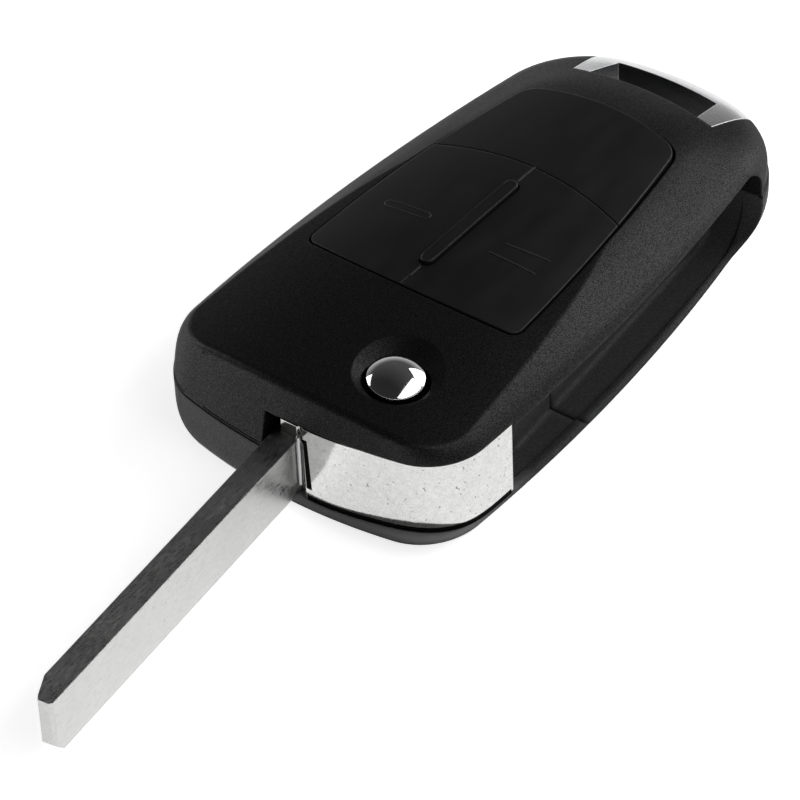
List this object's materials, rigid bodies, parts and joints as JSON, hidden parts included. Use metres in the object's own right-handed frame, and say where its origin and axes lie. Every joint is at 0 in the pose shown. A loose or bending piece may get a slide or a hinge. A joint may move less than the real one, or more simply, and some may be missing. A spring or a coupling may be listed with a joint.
{
  "type": "flip key remote shell",
  "caption": "Empty two-button remote key case with a spring-loaded flip blade, a push release, a key-ring bar and a battery cover.",
  "frame": {"origin": "on the flat back face, at half the length and half the width of the case", "axes": "+Z out through the buttons, +X towards the key-ring end, -Y towards the side that the folded blade lies in"},
  "size_m": [0.1108, 0.0376, 0.0169],
  "materials": {
    "upper_case": "fine moulded grain",
    "lower_front_case": "fine moulded grain",
    "battery_cover": "fine moulded grain",
    "ring_bar": "bright satin plating",
    "pad_plate": "smooth matt",
    "lock_button": "smooth matt",
    "unlock_button": "smooth matt",
    "keypad_mat": "smooth silicone",
    "flip_hub": "satin plated casting",
    "key_blade": "fine lengthwise brushing",
    "blade_pin": "bright",
    "pivot_post": "bright",
    "spring_washer": "bright",
    "flip_spring": "drawn wire",
    "release_stem": "plain moulded",
    "release_cap": "mirror plating",
    "lock_plate": "stamped",
    "case_screws": "dark plated",
    "chip_tray": "plain moulded"
  },
  "bodies": {
    "case": {"upper_case": "upper_case", "lower_front_case": "lower_front_case", "ring_bar": "ring_bar", "pad_plate": "pad_plate", "keypad_mat": "keypad_mat", "pivot_post": "pivot_post", "lock_plate": "lock_plate", "case_screws": "case_screws", "chip_tray": "chip_tray"},
    "hub": {"flip_hub": "flip_hub", "key_blade": "key_blade", "blade_pin": "blade_pin", "spring_washer": "spring_washer", "flip_spring": "flip_spring"},
    "release": {"release_stem": "release_stem", "release_cap": "release_cap"},
    "lock_key": {"lock_button": "lock_button"},
    "unlock_key": {"unlock_button": "unlock_button"},
    "cover": {"battery_cover": "battery_cover"}
  },
  "joints": [
    {"name": "blade_flip", "type": "hinge", "parent": "case", "child": "hub", "pos_m": [-0.026, -0.0075, 0.0065], "axis": [0, 0, 1], "range_deg": [0, 179]},
    {"name": "release_press", "type": "slide", "parent": "hub", "child": "release", "axis": [0, 0, -1], "range_m": [0, 0.0015], "stiffness_N_per_m": 800, "deforming": ["flip_spring"]},
    {"name": "lock_press", "type": "slide", "parent": "case", "child": "lock_key", "axis": [0, 0, -1], "range_m": [0, 0.0004], "stiffness_N_per_m": 3000},
    {"name": "unlock_press", "type": "slide", "parent": "case", "child": "unlock_key", "axis": [0, 0, -1], "range_m": [0, 0.0004], "stiffness_N_per_m": 3000},
    {"name": "cover_off", "type": "slide", "parent": "case", "child": "cover", "axis": [0, 0, -1], "range_m": [0, 0.007]}
  ]
}
